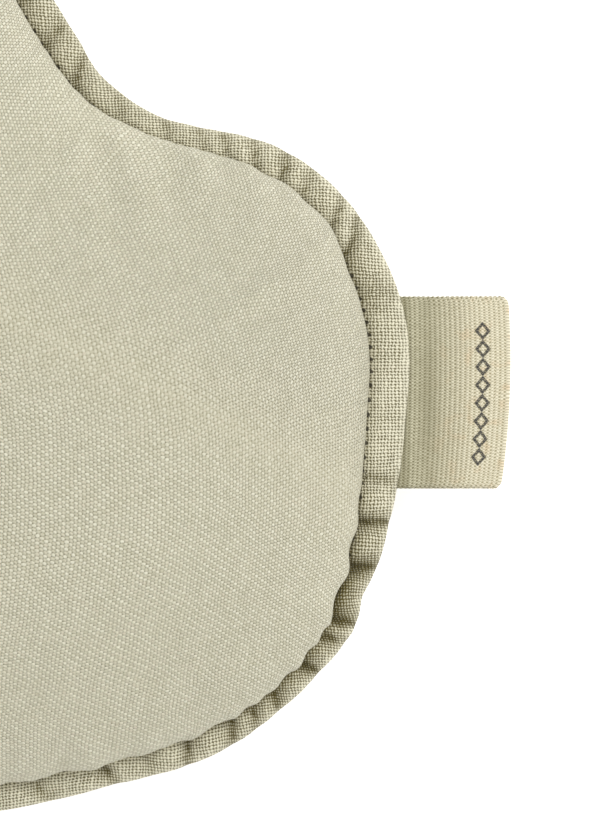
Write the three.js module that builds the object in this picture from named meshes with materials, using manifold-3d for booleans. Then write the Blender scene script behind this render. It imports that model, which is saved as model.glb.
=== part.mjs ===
// An eye pillow: a washable linen cover with a topstitched flange and an envelope back, a cotton inner bag
// full of flax seed inside it, and a folded ribbon label caught in the cover's right-hand seam.
// Millimetres, +Z up. The pillow lies on its back. X runs along its length, through both temples, and +Y
// points to the forehead. The origin is on the underside, below the bridge of the nose.
import * as THREE from 'three';
import { mergeVertices } from 'three/addons/utils/BufferGeometryUtils.js';
import Module from 'manifold-3d';

const wasm = await Module();
wasm.setup();

// Driving dimensions.
const halfLength = 110;         // from the nose line to the temple edge of the flange
const flangeWidth = 6;          // from the folded edge to the topstitch
const thickness = 27;           // from the surface it lies on to its crown
const seamHeight = 11;          // the seam's height above that surface
const edgeRound = 13;           // how far in from the topstitch the bulge is rounded
const cloth = 0.5;              // thickness of a layer of linen
const bagCloth = 0.4;           // thickness of the inner bag's cotton
const clearance = 0.3;          // between pieces that touch
const threadSize = 0.4;         // width and height of a line of stitching
const hemEdge = -8;             // Y of the outer back panel's hem
const overlap = 32;             // how far the inner back panel runs on beneath the outer one
const hemDepth = 8;             // from a hem's folded edge to its stitching
const bagAllowance = 4;         // width of the inner bag's seam allowance
const labelWidth = 25.4;        // along the seam
const labelReach = 13.6;        // from the flange's edge to the label's fold
const labelTail = 5;            // how far its ends run in between the flange's layers
const labelShow = 0.6;          // how far its ends show outside the flange
const labelSwing = 0.5;         // from there to the line its loop swings about
const ribbon = 0.25;            // thickness of the label's ribbon

// The outline is a belt round these circles, given for the pillow's right half from the nose to the forehead.
// It turns left round the convex ones and right round the hollow ones, with straight tangents between.
const nose = { x: 0, y: -40, radius: 15, hollow: true };
const forehead = { x: 0, y: -39, radius: 110 };
const rightSide = [
  { x: 41, y: -33, radius: 24 },                      // cheek, beside the nose
  { x: 42.2, y: 32.6, radius: 89.4 },                 // the long lower edge
  { x: 67.9, y: -11.6, radius: 39.7 },                // lower temple
  { x: 40.7, y: -0.5, radius: 68.8 },                 // below the label
  { x: halfLength - 31.8, y: 4.4, radius: 31.8 },     // upper temple
  { x: 83.6, y: 55.3, radius: 19, hollow: true },     // between the temple and the brow
  { x: 40.9, y: 42.4, radius: 24 },                   // corner of the brow
];
const leftSide = rightSide.map((circle) => ({ ...circle, x: -circle.x })).reverse();
const belt = [nose, ...rightSide, forehead, ...leftSide];
const arcStep = THREE.MathUtils.degToRad(20);
const longestStep = 16;

// A circle's signed radius once the outline is moved inwards: convex circles shrink and hollow ones grow.
const signedRadius = (circle, inset) => (circle.hollow ? -circle.radius : circle.radius) - inset;

// The direction in which the belt leaves one circle for the next.
function tangentAngle(from, to) {
  const across = Math.hypot(to.x - from.x, to.y - from.y);
  const growth = signedRadius(to, 0) - signedRadius(from, 0);
  return Math.atan2(to.y - from.y, to.x - from.x) - Math.asin(growth / across);
}

// The outline's points, counterclockwise. Every inset gives the same number of points.
function outline(inset) {
  const points = [];
  belt.forEach((circle, i) => {
    const arriving = tangentAngle(belt.at(i - 1), circle);
    const leaving = tangentAngle(circle, belt[(i + 1) % belt.length]);
    const turn = Math.atan2(Math.sin(leaving - arriving), Math.cos(leaving - arriving));
    const length = Math.abs(turn) * circle.radius;
    const steps = Math.max(1, Math.ceil(Math.abs(turn) / arcStep), Math.ceil(length / longestStep));
    const radius = signedRadius(circle, inset);
    for (let k = 0; k <= steps; k++) {
      const heading = arriving + (turn * k) / steps;
      const [x, y] = [circle.x + radius * Math.sin(heading), circle.y - radius * Math.cos(heading)];
      points.push(new THREE.Vector2(x, y));
    }
  });
  return points;
}

// Solids for cutting and joining.
function toSolid(geometry) {
  const bare = geometry.clone();
  bare.deleteAttribute('normal');
  bare.deleteAttribute('uv');
  const merged = mergeVertices(bare, 1e-4);
  const vertProperties = new Float32Array(merged.attributes.position.array);
  const triVerts = new Uint32Array(merged.index.array);
  return new wasm.Manifold(new wasm.Mesh({ numProp: 3, vertProperties, triVerts }));
}

function toGeometry(solid) {
  const mesh = solid.getMesh();
  const geometry = new THREE.BufferGeometry();
  geometry.setAttribute('position', new THREE.BufferAttribute(mesh.vertProperties, 3));
  geometry.setIndex(new THREE.BufferAttribute(mesh.triVerts, 1));
  return geometry;
}

// A flat plate in the outline's shape.
function plate(inset, low, high) {
  const shape = new THREE.Shape(outline(inset));
  const geometry = new THREE.ExtrudeGeometry(shape, { depth: high - low, bevelEnabled: false });
  return toSolid(geometry.translate(0, 0, low));
}

// A frame in the outline's shape: the strip between two insets.
const strip = (outer, inner, low, high) => plate(outer, low, high).subtract(plate(inner, low - 1, high + 1));

function block(lowCorner, highCorner) {
  const low = new THREE.Vector3(...lowCorner);
  const high = new THREE.Vector3(...highCorner);
  const size = high.clone().sub(low);
  const middle = low.clone().add(high).multiplyScalar(0.5);
  return toSolid(new THREE.BoxGeometry(...size).translate(...middle));
}

const far = 300;
const above = (z) => block([-far, -far, z], [far, far, z + far]);
const below = (z) => block([-far, -far, z - far], [far, far, z]);

// A cushion: rings of the outline, drawn in and rounded above and below the seam, closed by two flat caps.
function cushion(inset, low, high) {
  const roundSteps = 3;
  const rings = [];
  const quarter = (k) => (Math.PI / 2) * (k / roundSteps);
  for (let k = 0; k <= roundSteps; k++) {
    const drawnIn = inset + edgeRound * (1 - Math.sin(quarter(k)));
    rings.push({ inset: drawnIn, z: seamHeight + (low - seamHeight) * Math.cos(quarter(k)) });
  }
  for (let k = roundSteps - 1; k >= 0; k--) {
    const drawnIn = inset + edgeRound * (1 - Math.sin(quarter(k)));
    rings.push({ inset: drawnIn, z: seamHeight + (high - seamHeight) * Math.cos(quarter(k)) });
  }
  const positions = [];
  const outlines = rings.map((ring) => outline(ring.inset));
  rings.forEach((ring, r) => outlines[r].forEach((point) => positions.push(point.x, point.y, ring.z)));
  const count = outlines[0].length;
  const index = [];
  for (let r = 0; r + 1 < rings.length; r++) {
    for (let k = 0; k < count; k++) {
      const [a, b] = [r * count + k, r * count + ((k + 1) % count)];
      index.push(a, b, b + count, a, b + count, a + count);
    }
  }
  const lastRing = (rings.length - 1) * count;
  for (const [a, b, c] of THREE.ShapeUtils.triangulateShape(outlines[0], [])) index.push(c, b, a);
  for (const [a, b, c] of THREE.ShapeUtils.triangulateShape(outlines.at(-1), [])) {
    index.push(lastRing + a, lastRing + b, lastRing + c);
  }
  const geometry = new THREE.BufferGeometry();
  geometry.setAttribute('position', new THREE.Float32BufferAttribute(positions, 3));
  geometry.setIndex(index);
  return toSolid(geometry);
}

// The hollow walls of one cushion inside another, one layer of cloth thick.
const skin = (inset, low, high, layer) =>
  cushion(inset, low, high).subtract(cushion(inset + layer, low + layer, high - layer));

// Half the height between the flange's two face layers: the label's two ends lie there, one on the other.
const flangeHalf = clearance / 2 + ribbon + clearance;

// Heights of the layers on the underside, from the surface up, and the inner bag's own size.
const innerPanelLow = cloth + clearance + threadSize + clearance;
const bagLow = innerPanelLow + cloth + clearance + threadSize + clearance;
const bagHigh = thickness - cloth - clearance;
const bagInset = flangeWidth + bagLow;
const bagHalf = threadSize / 2 + clearance;
const fillInset = bagInset + bagCloth + clearance;

const linen = { color: 0xcfcdb4, roughness: 0.95, metalness: 0 };
const cotton = { color: 0xe9e4d6, roughness: 0.95, metalness: 0 };
const thread = { color: 0xb9b596, roughness: 0.8, metalness: 0 };
const ribbonTape = { color: 0xdcd3b8, roughness: 0.9, metalness: 0 };
const seed = { color: 0x8a5a33, roughness: 0.7, metalness: 0 };

const eyePillow = new THREE.Group();

function addPiece(name, solid, look) {
  const mesh = new THREE.Mesh(toGeometry(solid), new THREE.MeshStandardMaterial(look));
  mesh.name = name;
  eyePillow.add(mesh);
}

const forwardOf = (y) => block([-far, y, -far], [far, far, far]);
const behind = (y) => block([-far, -far, -far], [far, y, far]);

// A block between two heights measured from the seam, on the front (side 1) or the back (side -1).
const heights = (side, near, away) => [
  seamHeight + Math.min(side * near, side * away),
  seamHeight + Math.max(side * near, side * away),
];

// One side of the flange: the face layer, and under it the seam allowance turned in at the folded edge.
// A channel near the fold takes the seam's thread, and a slot takes the label's ends.
function flangeSide(side) {
  const allowanceWidth = flangeWidth - 1;
  const channel = cloth + threadSize + 2 * clearance;
  const whole = strip(0, flangeWidth + cloth, ...heights(side, clearance / 2, flangeHalf + cloth));
  const innerGap = strip(allowanceWidth, flangeWidth + 2, ...heights(side, -1, flangeHalf));
  const threadRoom = strip(cloth, channel, ...heights(side, -1, threadSize / 2 + clearance));
  const halfSlot = labelWidth / 2 + clearance;
  const [slotLow, slotHigh] = heights(side, -1, flangeHalf);
  const labelSlot = block([halfLength - flangeWidth, -halfSlot, slotLow], [far, halfSlot, slotHigh]);
  return whole.subtract(innerGap).subtract(threadRoom).subtract(labelSlot);
}

// The cover's front: a domed panel with its side of the flange.
function coverFront() {
  return skin(flangeWidth, 0, thickness, cloth).intersect(above(seamHeight + flangeHalf)).add(flangeSide(1));
}

// The cover's back is an envelope. Its two panels share one hollow shape, which is split at the outer hem.
const backShape = skin(flangeWidth, 0, thickness, cloth)
  .intersect(below(seamHeight - flangeHalf))
  .add(flangeSide(-1));

// The outer panel hangs from the forehead edge and ends at its hem.
const coverBackOuter = () => backShape.intersect(forwardOf(hemEdge));

// The inner panel starts at the cheek edge, and steps in to run on beneath the outer panel to its own hem.
function coverBackInner() {
  const stepWidth = 3;
  const showing = backShape.intersect(behind(hemEdge - clearance));
  const step = skin(flangeWidth, 0, thickness, innerPanelLow + cloth)
    .intersect(behind(hemEdge - clearance));
  const hidden = skin(flangeWidth + innerPanelLow, innerPanelLow, thickness - innerPanelLow, cloth);
  const inward = step.add(hidden)
    .intersect(below(seamHeight - flangeHalf - clearance))
    .intersect(forwardOf(hemEdge - clearance - stepWidth))
    .intersect(behind(hemEdge + overlap));
  return showing.add(inward);
}

// A hem's stitching: a line across the underside, inside the panel whose inner face is at this level.
function hemThread(y, panelTop) {
  const level = panelTop + clearance;
  return skin(flangeWidth + level, level, thickness - level, threadSize)
    .intersect(below(seamHeight - flangeHalf - 2 * clearance))
    .intersect(forwardOf(y))
    .intersect(behind(y + threadSize));
}

// The topstitch that closes the flange: the needle's thread lies on the front and the bobbin's on the back.
function topstitch(side) {
  const face = flangeHalf + cloth + clearance;
  const inner = flangeWidth - clearance;
  return strip(inner - threadSize, inner, ...heights(side, face, face + threadSize));
}

// The thread of the cover's seam, inside the folded edge. It runs from one side of the label to the other.
function seamThread() {
  const outer = cloth + clearance;
  const halfGap = labelWidth / 2 + 2 * clearance;
  const atLabel = block([halfLength / 2, -halfGap, 0], [far, halfGap, thickness]);
  return strip(outer, outer + threadSize, ...heights(1, -threadSize / 2, threadSize / 2)).subtract(atLabel);
}

// One of the label's two ends, lying between the flange's layers and showing just outside them.
function labelEnd(side) {
  const [low, high] = heights(side, clearance / 2, clearance / 2 + ribbon);
  const half = labelWidth / 2;
  return block([halfLength - labelTail, -half, low], [halfLength + labelShow, half, high]);
}

// The label's loop: the ribbon runs out, turns over a soft fold and comes back.
function labelLoop() {
  const fold = halfLength + labelReach;
  const start = halfLength + labelShow + labelSwing;
  const outer = clearance / 2 + ribbon;
  const loop = (radius, reach) => {
    const shape = new THREE.Shape();
    shape.moveTo(start, -radius);
    shape.lineTo(reach - radius, -radius);
    shape.absarc(reach - radius, 0, radius, -Math.PI / 2, Math.PI / 2, false);
    shape.lineTo(start, radius);
    shape.closePath();
    return shape;
  };
  const side = (shape, depth) => {
    const geometry = new THREE.ExtrudeGeometry(shape, { depth, bevelEnabled: false, curveSegments: 8 });
    return toSolid(geometry.rotateX(Math.PI / 2).translate(0, depth / 2, seamHeight));
  };
  const room = block([start - 1, -labelWidth, seamHeight - clearance / 2],
    [fold - outer, labelWidth, seamHeight + clearance / 2]);
  return side(loop(outer, fold), labelWidth).subtract(room);
}

// Half of the inner bag: a shell with a flat seam allowance turned inwards.
function bagHalfShell(side) {
  const keep = side > 0 ? above(seamHeight + bagHalf) : below(seamHeight - bagHalf);
  const allowance = strip(bagInset, bagInset + bagAllowance, ...heights(side, bagHalf, bagHalf + bagCloth));
  return skin(bagInset, bagLow, bagHigh, bagCloth).intersect(keep).add(allowance);
}

function bagSeamThread() {
  const outer = bagInset + clearance;
  return strip(outer, outer + threadSize, ...heights(1, -threadSize / 2, threadSize / 2));
}

// The seed, as one body that fills the bag and leaves room for the seam allowance.
function seedFill() {
  const shrink = bagCloth + clearance;
  const allowanceRoom = strip(bagInset - 1, bagInset + bagAllowance + clearance,
    ...heights(1, -bagHalf - shrink, bagHalf + shrink));
  return cushion(fillInset, bagLow + shrink, bagHigh - shrink).subtract(allowanceRoom);
}

addPiece('cover_front_panel', coverFront(), linen);
addPiece('cover_back_outer_panel', coverBackOuter(), linen);
addPiece('cover_back_inner_panel', coverBackInner(), linen);
addPiece('cover_seam_thread', seamThread(), thread);
addPiece('topstitch_needle_thread', topstitch(1), thread);
addPiece('topstitch_bobbin_thread', topstitch(-1), thread);
addPiece('outer_hem_thread', hemThread(hemEdge + hemDepth, cloth), thread);
addPiece('inner_hem_thread', hemThread(hemEdge + overlap - hemDepth, innerPanelLow + cloth), thread);
addPiece('label_end_front', labelEnd(1), ribbonTape);
addPiece('label_end_back', labelEnd(-1), ribbonTape);
addPiece('label_loop', labelLoop(), ribbonTape);
addPiece('bag_front_panel', bagHalfShell(1), cotton);
addPiece('bag_back_panel', bagHalfShell(-1), cotton);
addPiece('bag_seam_thread', bagSeamThread(), thread);
addPiece('flax_seed_fill', seedFill(), seed);

export default eyePillow;
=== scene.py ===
"""An eye pillow: a linen cover with a topstitched flange and an envelope back, a cotton bag of flax seed
inside it, and a folded ribbon label in its right-hand seam. Lengths are in millimetres, and turned into
metres when a mesh is made."""

import math

import bpy
import numpy as np
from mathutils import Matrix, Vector
from mathutils.geometry import delaunay_2d_cdt
from mathutils.kdtree import KDTree


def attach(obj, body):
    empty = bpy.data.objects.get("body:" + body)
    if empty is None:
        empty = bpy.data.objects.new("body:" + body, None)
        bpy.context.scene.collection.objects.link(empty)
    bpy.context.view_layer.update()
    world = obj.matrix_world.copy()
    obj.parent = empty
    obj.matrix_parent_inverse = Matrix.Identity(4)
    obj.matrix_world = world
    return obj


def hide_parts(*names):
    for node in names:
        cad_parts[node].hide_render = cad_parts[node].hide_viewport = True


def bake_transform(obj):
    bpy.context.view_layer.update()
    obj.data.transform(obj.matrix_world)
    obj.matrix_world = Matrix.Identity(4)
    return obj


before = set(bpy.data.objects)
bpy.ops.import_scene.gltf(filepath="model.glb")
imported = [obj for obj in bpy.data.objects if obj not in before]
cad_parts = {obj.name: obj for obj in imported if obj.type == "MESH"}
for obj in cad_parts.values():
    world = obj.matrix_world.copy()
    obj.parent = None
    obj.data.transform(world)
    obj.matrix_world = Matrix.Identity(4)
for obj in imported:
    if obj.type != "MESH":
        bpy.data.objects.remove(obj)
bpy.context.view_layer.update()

MM = 0.001
SEAM_Z = 11.0            # the seam's height
SEAM_HALF = 0.42         # half the cloth's thickness at the topstitch
SEAM_WAVE = 0.22         # how far the puckers lift and shift it there
FRONT_RISE = 16.6        # the front's crown above the seam
FRONT_FULLNESS = 1.75    # how soon the front rises to it
BACK_DROP = 10.2         # the back's lowest point below the seam
BACK_FULLNESS = 2.3
BACK_SWELL = 0.8         # how far the back swells out over the topstitch, as a share of the front
FRONT_CLOTH = 0.34       # thicknesses
BACK_CLOTH = 0.3
BAG_CLOTH = 0.24
RIBBON = 0.2
BAG_DEPTHS = (1.5, 2.9)  # how far the bag lies inside the front and the back, and then the seed
SEED_DEPTHS = (2.5, 3.9)
LABEL_WIDTH = 25.6
LABEL_Y = 0.2            # the label's middle
LABEL_END_X = 105.4
LABEL_FOLD_X = 123.6
HEM_Y = -8.0             # edge of the outer back panel
HEM_DEPTH = 8.0
OVERLAP = 32.0
STITCH = 1.95            # length of a stitch
THREAD = 0.12            # radius of its thread
HOLES_START = 1000       # the flange counts its stitches from here at the label's middle
WARP_PITCH = 0.505       # between yarns, on the filled panels
WEFT_PITCH = 0.456
FLANGE_PITCH = 0.915     # the flange's yarns lie closer, as a share of those
BAG_PITCH = 0.34         # between the yarns of the bag's cotton
RIB_PITCH = 0.667        # the label's ribs
RIB_STEP = 0.39          # the label's crossings along a rib
LOZENGE = 2.4            # between the lozenges woven into it
LOZENGE_ROW = 3.3        # from the fold to the middle of their row
UP = np.array([0.0, 0.0, 1.0])

# ---- The outline: a belt round circles (x, y, radius, whether hollow), as in the part's own source.
NOSE = (0, -40, 15, True)
FOREHEAD = (0, -39, 110, False)
RIGHT = [
    (41, -33, 24, False), (42.2, 32.6, 89.4, False), (67.9, -11.6, 39.7, False),
    (40.7, -0.5, 68.8, False), (78.2, 4.4, 31.8, False), (83.6, 55.3, 19, True), (40.9, 42.4, 24, False),
]
BELT = [NOSE, *RIGHT, FOREHEAD, *[(-x, y, r, hollow) for x, y, r, hollow in RIGHT[::-1]]]
BELT_END_X = 110         # its far right, at the label
EDGE_STEP = 0.8


def new_object(name, data):
    ob = bpy.data.objects.new(name, data)
    bpy.context.scene.collection.objects.link(ob)
    return ob


def smooth(x, low, high):
    t = np.clip((np.asarray(x, float) - low) / (high - low), 0, 1)
    return t * t * (3 - 2 * t)


def summed(steps):
    return np.concatenate([[0], np.cumsum(steps)])


def closed_up(table):
    """A table with its first row again at the end."""
    return np.vstack([table, table[:1]])


def sampled(at, along, table):
    """What a table's rows, given at distances along a path, say at other distances."""
    return np.stack([np.interp(at, along, column) for column in table.T], -1)


def belt_points(step):
    """Points on the flange's folded edge, from the label's middle on: where, their outward normals, how far
    along each lies, and the length of the whole edge."""
    fine = 0.05
    radii = [-r if hollow else r for _, _, r, hollow in BELT]
    leaving = []
    for i, (x, y, _, _) in enumerate(BELT):
        j = (i + 1) % len(BELT)
        dx, dy = BELT[j][0] - x, BELT[j][1] - y
        leaving.append(math.atan2(dy, dx) - math.asin((radii[j] - radii[i]) / math.hypot(dx, dy)))
    points, normals = [], []
    for i, (x, y, _, _) in enumerate(BELT):
        turn = math.remainder(leaving[i] - leaving[i - 1], math.tau)
        count = max(2, int(abs(turn) * abs(radii[i]) / fine))
        for angle in np.linspace(leaving[i - 1], leaving[i - 1] + turn, count):
            normals.append((math.sin(angle), -math.cos(angle)))
            points.append((x + radii[i] * math.sin(angle), y - radii[i] * math.cos(angle)))
    points, normals = closed_up(points), closed_up(normals)
    along = summed(np.hypot(*np.diff(points, axis=0).T))
    total = along[-1]
    start = along[np.argmin(np.hypot(points[:, 0] - BELT_END_X, points[:, 1]))]
    count = int(round(total / step))
    places = np.arange(count) * total / count
    want = (start + places) % total
    out = sampled(want, along, normals)
    out /= np.linalg.norm(out, axis=1)[:, None]
    return sampled(want, along, points), out, places, total


EDGE, OUT, ALONG, AROUND = belt_points(EDGE_STEP)
COUNT = len(EDGE)
# Measured from the label's middle: positive towards the brow, negative towards the cheek.
SIDE = (ALONG + AROUND / 2) % AROUND - AROUND / 2


def at_side(table):
    """A value given at some distances from the label's middle, in between them, round the whole edge."""
    x, y = np.array(table, float).T
    return np.interp(SIDE, x, y, period=AROUND)


# How far in the topstitch runs, and how far the filled panel swells out over it.
STITCH_INSET = at_side([
    (-150, 4.6), (-88, 4.8), (-60, 4.6), (-33, 4.8), (-22, 5.1), (-12, 5.6), (0, 5.6), (12, 5.8), (18, 5.8),
    (24, 5.1), (40, 4.9), (57, 4.4), (63, 5.0), (70, 5.3), (80, 5.2), (95, 4.7), (150, 4.6)])
SWELL = at_side([
    (-150, 5.4), (-100, 5.2), (-88, 5.1), (-80, 5.2), (-75, 6.0), (-65, 6.1), (-60, 5.4), (-56, 5.3),
    (-50, 5.6), (-38, 5.8), (-33, 5.2), (-29, 4.8), (-22, 4.8), (-14, 4.4), (4, 3.9), (10, 3.9), (17, 4.1),
    (22, 4.5), (27, 5.1), (38, 5.3), (53, 5.7), (57, 5.4), (61, 5.0), (67, 4.6), (76, 4.4), (95, 4.7),
    (115, 5.2), (150, 5.4)])
SWELL_START = 2.6        # how soon the panel swells, going in from the seam
CROWDING = 5.0           # how far the yarns are drawn out towards the rim
# How far the puffs of the flange push the panel's rim in.
RIM_SCALLOP = at_side([
    (-150, 0.6), (-60, 1.0), (-32, 1.1), (-18, 0.6), (-8, 0), (12, 0), (30, 0.12), (60, 0.2), (90, 0.5),
    (150, 0.6)])
RIM_PUSH = 0.75


# ---- Puckers: where the topstitch has gathered the flange, as (distance from the label's middle, depth).
def pucker_list():
    puckers = [
        (-5.0, 0.08), (-13.8, 0.35), (-20.4, 0.9), (-27.1, 1.0), (-35.4, 0.95), (-37.8, 0.7), (-42.6, 1.0),
        (-47.5, 0.7), (-50.8, 0.7), (-54.2, 0.75), (-61.2, 0.75), (-68.0, 0.25), (-75.0, 0.75),
        (-84.0, 0.35), (2.0, 0.05), (12.5, 0.15), (19.4, 0.7), (23.4, 0.6), (30.5, 0.3), (34.5, 0.65),
        (38.6, 0.5), (43.0, 0.55), (46.2, 0.35), (51.5, 0.3), (57.0, 0.2), (63.2, 0.5), (70.0, 0.35),
        (77.0, 0.3),
    ]
    # The rest of the way round.
    rng = np.random.default_rng(11)
    s = 84.0
    while s < AROUND - 90.0:
        puckers.append((s, rng.uniform(0.35, 0.9)))
        s += rng.uniform(4.6, 8.2)
    return np.array(sorted((s % AROUND, depth) for s, depth in puckers))


PUCKERS = pucker_list()
# How far along the edge a pucker has moved by the time it reaches the folded edge.
LEAN = at_side([
    (-90, 0.0), (-75, 3.0), (-62, -2.5), (-54, -2.2), (-49, -1.6), (-42, 1.0), (-36, 1.7), (-27, 2.1),
    (-20, 1.4), (-13, 0.0), (12, 0.0), (18, 1.8), (23, 4.2), (29, 2.0), (35, 1.3), (40, 2.4), (46, 2.2),
    (55, 1.2), (64, 4.2), (73, 1.0), (90, 0.0)])


def pucker_waves(part=0.0):
    """Round the edge: the height of the gathered cloth between its puckers, its slide along the edge, how
    far it dips into them, and their depth. Part is how far out to go, from the topstitch to the edge."""
    s = np.concatenate([PUCKERS[:, 0] - AROUND, PUCKERS[:, 0], PUCKERS[:, 0] + AROUND])
    depth = np.tile(PUCKERS[:, 1], 3)
    x = ALONG - LEAN * part
    phase = np.interp(x, s, np.arange(len(s)) * math.tau)
    deep = np.interp(x, s, depth)
    gap = np.diff(s)[np.clip(np.searchsorted(s, x, side="right") - 1, 0, len(s) - 2)]
    wave = -np.cos(phase) * deep * np.clip(gap / 6, 0.5, 1)
    slide = -np.sin(phase) * deep * np.clip(gap / 6, 0.4, 1.2)
    dip = 1 - np.abs(np.sin(phase / 2)) ** 0.8
    return wave, slide, dip, deep


WAVE, SLIDE, _, _ = pucker_waves()
# How far the folded edge is drawn in. Where this is negative, it stands out.
DRAWN_IN = at_side([
    (-100, 0), (-85, 0.2), (-75, 0.1), (-70, -0.2), (-65, -0.4), (-60, -0.3), (-55, -0.15), (-50, 0.15),
    (-44, 0.1), (-40, -0.05), (-37.5, -0.3), (-34, -0.5), (-32, -0.2), (-29.7, 0.6), (-28, 0.3),
    (-25, -0.15), (-15, -0.1), (0, -0.25), (13, -0.1), (18, 0.05), (24, -0.15), (33, -0.25), (38, -0.2),
    (43, 0.2), (48, 0.5), (53, 0.5), (60, 0.2), (64, 0.4), (68, 0.1), (90, 0)])
# Shade painted into the flange's colour beside the topstitch, blended out to the next table at its folded
# edge.
# Where it is negative, it takes away some of the creases' painted shade.
PAINTED_FLANGE_SHADE = at_side([
    (-150, 0.15), (-80, -0.05), (-66, -0.1), (-60, 0), (-54, 0.3), (-48, 0.75), (-42, 0.95), (-36, 0.8),
    (-30, 1.0), (-24, 0.5), (-18, 0.15), (-12, -0.05), (0, 0), (10, 0.25), (18, 0.35), (22, -0.1),
    (27, 0.15), (33, 0.1), (40, -0.2), (54, -0.1), (62, 0.1), (70, 0.15), (150, 0.15)])
# Painted shade at the flange's folded edge.
PAINTED_EDGE_SHADE = at_side([
    (-150, 0.15), (-80, 0.15), (-60, 0.2), (-54, 0.2), (-48, 0.1), (-42, 0), (-36, 0.05), (-30, 0.2),
    (-24, 0.2), (-12, 0.1), (0, 0), (12, 0.05), (22, 0.05), (42, 0.25), (54, 0.25), (66, 0.25),
    (150, 0.15)])
TANGENT = np.stack([-OUT[:, 1], OUT[:, 0]], 1)
# How much cloth is gathered into the flange, as a share of its length, and how far that moves its grain.
GATHER = at_side([
    (-150, 0), (-80, 0.05), (-60, 0.2), (-50, 0.3), (-26, 0.3), (-15, 0.05), (-12, 0), (12, 0), (22, 0.1),
    (60, 0.1), (90, 0), (150, 0)])
GATHERED = TANGENT * (np.cumsum(GATHER - GATHER.mean()) * EDGE_STEP)[:, None]


# ---- Flat patterns and their inflation.
def inside(loop, points):
    x, y = points.T
    result = np.zeros(len(points), bool)
    for (xi, yi), (xj, yj) in zip(loop, np.roll(loop, 1, axis=0)):
        if yi != yj:
            result ^= ((yi > y) != (yj > y)) & (x < (xj - xi) * (y - yi) / (yj - yi) + xi)
    return result


def flat_pattern(lines=()):
    """A panel's flat mesh up to the topstitch. Its first points are the seam's. Each y in lines gets a
    straight row of points from seam to seam, which are returned in order."""
    rows = [0, 0.95, 2.0, 3.15, 4.4]
    rings = [EDGE - OUT * (STITCH_INSET + r)[:, None] for r in rows]
    wide, low, high = 112, -60, 75
    step, line_step, clear = 1.5, 1.2, 0.62
    grid = []
    for j, y in enumerate(np.arange(low, high, step * math.sqrt(3) / 2)):
        if not any(abs(y - line) < clear for line in lines):
            x = np.arange(-wide, wide, step) + (step / 2 if j % 2 else 0)
            grid.append(np.stack([x, np.full_like(x, y)], 1))
    core = EDGE - OUT * (STITCH_INSET + rows[-1] + 0.9)[:, None]
    grid = np.vstack(grid)
    grid = grid[inside(core, grid)]
    first = len(rows) * COUNT + len(grid)
    chains, extra = [], []
    for line in lines:
        away = np.abs(rings[0][:, 1] - line)
        ends = [int(np.argmin(away + 1e3 * (rings[0][:, 0] * side < 60))) for side in (-1, 1)]
        for ring in rings:
            ring[ends, 1] = line
        x = np.arange(-wide, wide, line_step)
        row = np.stack([x, np.full_like(x, line)], 1)
        row = row[inside(core, row)]
        middle = list(range(first, first + len(row)))
        first += len(row)
        extra.append(row)
        left, right = ([r * COUNT + end for r in range(len(rows))] for end in ends)
        chains.append([*left, *middle, *right[::-1]])
    points = np.vstack([*rings, grid, *extra])
    border = [(i, (i + 1) % COUNT) for i in range(COUNT)]
    border += [pair for chain in chains for pair in zip(chain, chain[1:])]
    made = delaunay_2d_cdt([Vector(p) for p in points], border, [], 1, 1e-6)
    verts = np.array([tuple(v) for v in made[0]])
    return verts, [tuple(f) for f in made[2]], chains


INFLATING_FRAMES = 14


def inflate(verts, faces):
    """Cloth sewn down along its seam and blown up from below: each point's place, in millimetres above the
    seam. Near the label it is kept taut, so that it doesn't wrinkle there."""
    scale = 0.01
    mesh = bpy.data.meshes.new("inflating")
    mesh.from_pydata([(x * scale, y * scale, 0) for x, y in verts], [], faces)
    pad = new_object("inflating", mesh)
    pad.vertex_groups.new(name="seam").add(list(range(COUNT)), 1.0, "ADD")
    taut = pad.vertex_groups.new(name="taut")
    taut_x, taut_y, taut_reach = 106, 1, 22
    away = np.hypot(verts[:, 0] - taut_x, (verts[:, 1] - taut_y) * 0.7)
    near_label = np.clip(1 - away / taut_reach, 0, 1)
    for i in np.nonzero(near_label > 0.01)[0]:
        taut.add([int(i)], float(min(1, near_label[i] * 1.6)), "REPLACE")
    cloth = pad.modifiers.new("cloth", "CLOTH")
    cloth.collision_settings.use_collision = False
    s = cloth.settings
    s.quality, s.mass, s.air_damping = 6, 0.01, 1.0
    s.tension_stiffness = s.compression_stiffness = 5
    s.shear_stiffness, s.bending_stiffness = 2, 1.5
    s.use_pressure, s.uniform_pressure_force = True, 20
    s.vertex_group_mass, s.vertex_group_shrink = "seam", "taut"
    s.shrink_min, s.shrink_max = -0.032, 0.0
    s.effector_weights.gravity = 0
    scene = bpy.context.scene
    for f in range(1, INFLATING_FRAMES + 1):
        scene.frame_set(f)
    shaped = pad.evaluated_get(bpy.context.evaluated_depsgraph_get()).data
    co = np.empty(len(verts) * 3)
    shaped.vertices.foreach_get("co", co)
    scene.frame_set(1)
    bpy.data.objects.remove(pad)
    bpy.data.meshes.remove(mesh)
    return co.reshape(-1, 3) / scale


def nearest_edge(verts):
    """For flat points: the nearest place on the seam, and the distance to it."""
    seam = EDGE - OUT * STITCH_INSET[:, None]
    tree = KDTree(COUNT)
    for i, (x, y) in enumerate(seam):
        tree.insert((x, y, 0), i)
    tree.balance()
    found = [tree.find((x, y, 0)) for x, y in verts]
    index = np.array([f[1] for f in found])
    away = np.array([f[2] for f in found])
    return index, away


def swelled(swell, away):
    """How far the panel moves out over its seam, this far in from it."""
    return swell * (1 - np.exp(-away / SWELL_START)) * (1 - smooth(away, 5, 24))


def crowded(verts, index, away):
    """Where the yarns lie seen from above: they crowd together towards the rim."""
    beyond = np.maximum(away, 6)
    shift = swelled(SWELL[index], beyond) + CROWDING * (1 - smooth(beyond, 1, 26))
    return verts + OUT[index] * shift[:, None]


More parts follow.
